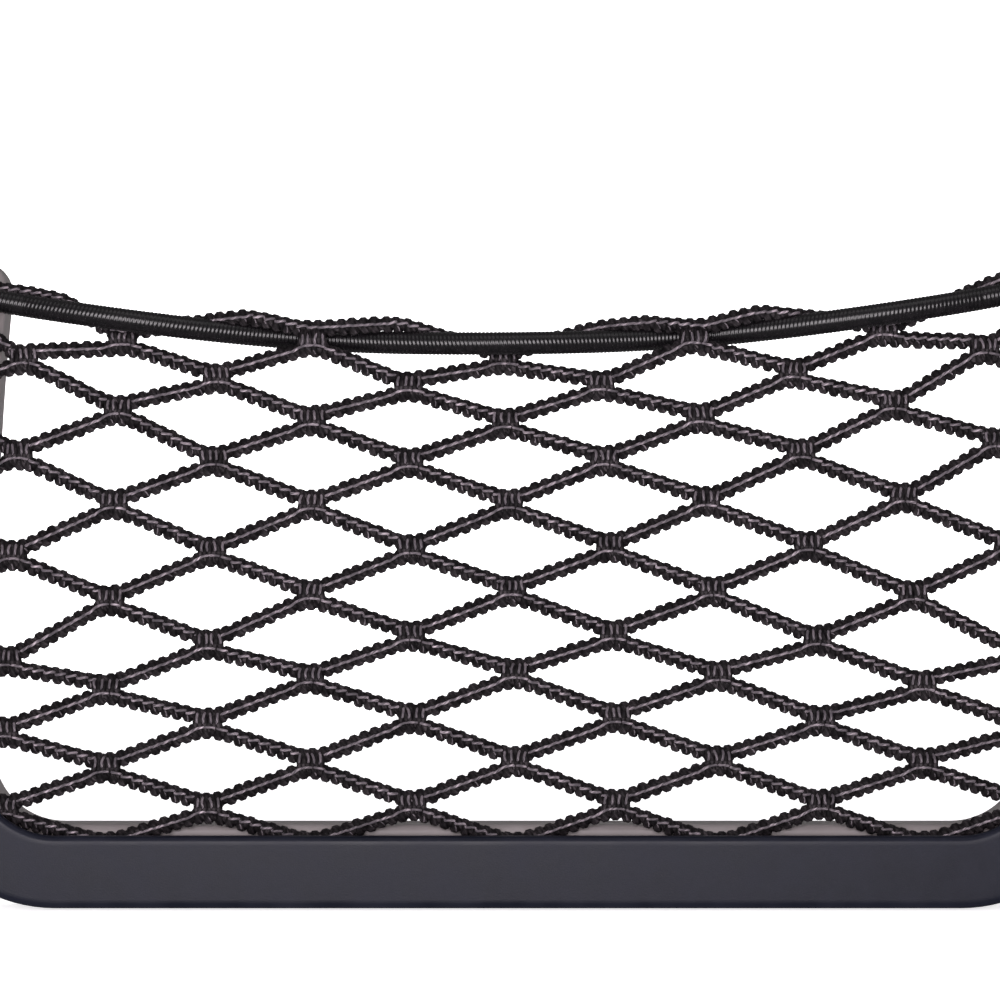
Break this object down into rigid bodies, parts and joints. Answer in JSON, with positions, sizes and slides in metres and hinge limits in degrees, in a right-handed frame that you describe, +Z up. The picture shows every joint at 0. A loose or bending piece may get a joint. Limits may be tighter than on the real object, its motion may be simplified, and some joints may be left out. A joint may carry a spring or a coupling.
{
  "type": "elastic mesh door pocket on a u-shaped plastic frame",
  "caption": "Shallow black net pocket for a car door: knotted elastic mesh and a threaded cord stretched across a plain U-shaped plastic frame, open at the top.",
  "frame": {"origin": "middle of the bottom bar's back face, which lies on the door", "axes": "+X along the door to the right as seen from the front, +Y into the door, +Z up"},
  "size_m": [0.1506, 0.0121, 0.0815],
  "materials": {
    "net_yarn": "black crocheted polyester yarn over elastic, satin glints on the stitches",
    "cord_sheath": "tightly wrapped black elastic cord with fine cross ribs and a soft sheen",
    "base_plastic": "satin warm grey injection-moulded plastic",
    "cover_plastic": "satin blue-black injection-moulded plastic"
  },
  "bodies": {
    "root": {"net": "net_yarn", "elastic_cord": "cord_sheath", "frame_base": "base_plastic", "frame_cover": "cover_plastic"}
  },
  "joints": []
}
